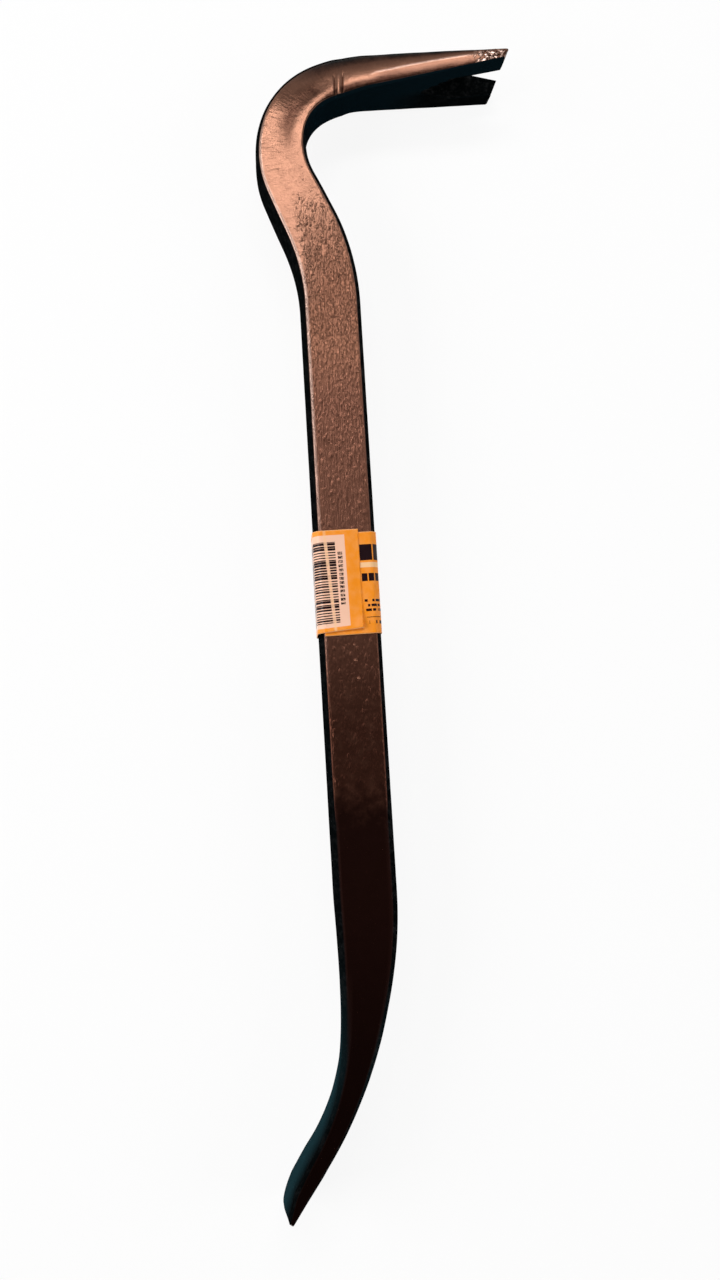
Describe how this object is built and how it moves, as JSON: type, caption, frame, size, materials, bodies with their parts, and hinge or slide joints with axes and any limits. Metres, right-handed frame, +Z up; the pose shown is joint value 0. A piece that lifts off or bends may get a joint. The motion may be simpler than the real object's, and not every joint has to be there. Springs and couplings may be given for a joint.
{
  "type": "crowbar",
  "caption": "Forged crowbar lying on its side, with a goosenecked nail-pulling claw, a curved chisel end and a paper label wrapped round the shank.",
  "frame": {"origin": "under the middle of the bar's box, at the height of its lowest edge", "axes": "+Y along the shank towards the claw end; +X the way the claw points; +Z up, square to the plane of the bends"},
  "size_m": [0.1142, 0.4512, 0.0349],
  "materials": {
    "lacquered_steel": "hammered metallic brown lacquer on the wide sides, near black on the narrow ones",
    "label_paper": "satin printed paper, orange with a pale panel"
  },
  "bodies": {
    "root": {"forged_bar": "lacquered_steel", "label_wrap": "label_paper"}
  },
  "joints": []
}
